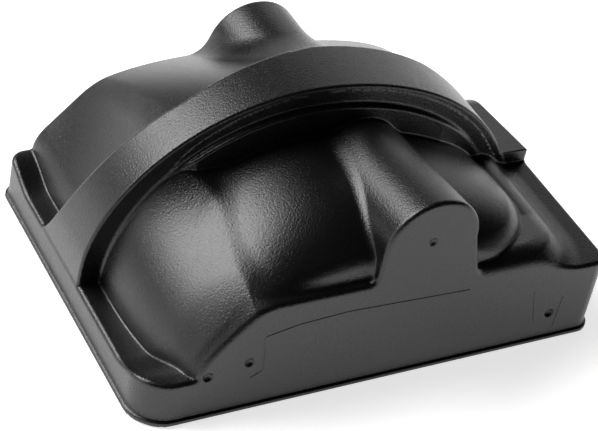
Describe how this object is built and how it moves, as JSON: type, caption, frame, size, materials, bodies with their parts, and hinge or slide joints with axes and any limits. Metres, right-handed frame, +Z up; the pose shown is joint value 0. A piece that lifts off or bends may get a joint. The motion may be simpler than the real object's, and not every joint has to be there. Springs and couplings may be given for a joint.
{
  "type": "air filter housing",
  "caption": "Formed air filter cover with a curved band and two duct humps, over a tray with a round filter and outlet adapter.",
  "frame": {"origin": "middle of the footprint at the underside of the flange", "axes": "+X along the long side to the right of the front face, -Y out of the front face, +Z up"},
  "size_m": [0.27, 0.194, 0.1237],
  "materials": {
    "cover_plastic": "grained satin",
    "block_plastic": "sawn, bonded",
    "tray_plastic": "moulded satin",
    "brass": "turned",
    "rubber": "matt",
    "wire_mesh": "woven wire",
    "spring_steel": "phosphated",
    "zinc_steel": "zinc plated",
    "gasket_fibre": "pressed fibre",
    "cast_aluminium": "machined casting",
    "cap_urethane": "moulded urethane",
    "screen_steel": "perforated, zinc plated",
    "filter_paper": "resin treated paper",
    "filter_foam": "open cell foam"
  },
  "bodies": {
    "tray": {"base_tray": "tray_plastic", "edge_seal": "rubber", "cover_screws": "zinc_steel", "cover_washers": "zinc_steel", "mounting_grommets": "rubber", "grommet_sleeves": "zinc_steel", "outlet_gasket": "gasket_fibre", "outlet_adapter": "cast_aluminium", "adapter_screws": "zinc_steel", "stud_bridge": "zinc_steel", "bridge_screws": "zinc_steel", "filter_stud": "zinc_steel"},
    "cover": {"upper_cover": "cover_plastic", "mounting_blocks": "block_plastic", "threaded_inserts": "brass", "intake_grommet": "rubber", "intake_screen": "wire_mesh", "screen_snap_ring": "spring_steel"},
    "filter": {"filter_lower_cap": "cap_urethane", "filter_upper_cap": "cap_urethane", "filter_inner_screen": "screen_steel", "filter_outer_screen": "screen_steel", "filter_pleats": "filter_paper", "foam_prefilter": "filter_foam", "filter_hold_plate": "zinc_steel", "sealing_washer": "rubber"},
    "nut": {"wing_nut": "zinc_steel"}
  },
  "joints": [
    {"name": "cover_lift", "type": "slide", "parent": "tray", "child": "cover", "axis": [0, 0, 1], "range_m": [0, 0.16]},
    {"name": "filter_lift", "type": "slide", "parent": "tray", "child": "filter", "axis": [0, 0, 1], "range_m": [0, 0.08]},
    {"name": "wing_nut_spin", "type": "hinge", "parent": "filter", "child": "nut", "pos_m": [-0.012, 0, 0.074], "axis": [0, 0, 1], "continuous": true}
  ],
  "couplings": [
    {"joint": "filter_lift", "follows": "cover_lift", "ratio": 0.5}
  ]
}
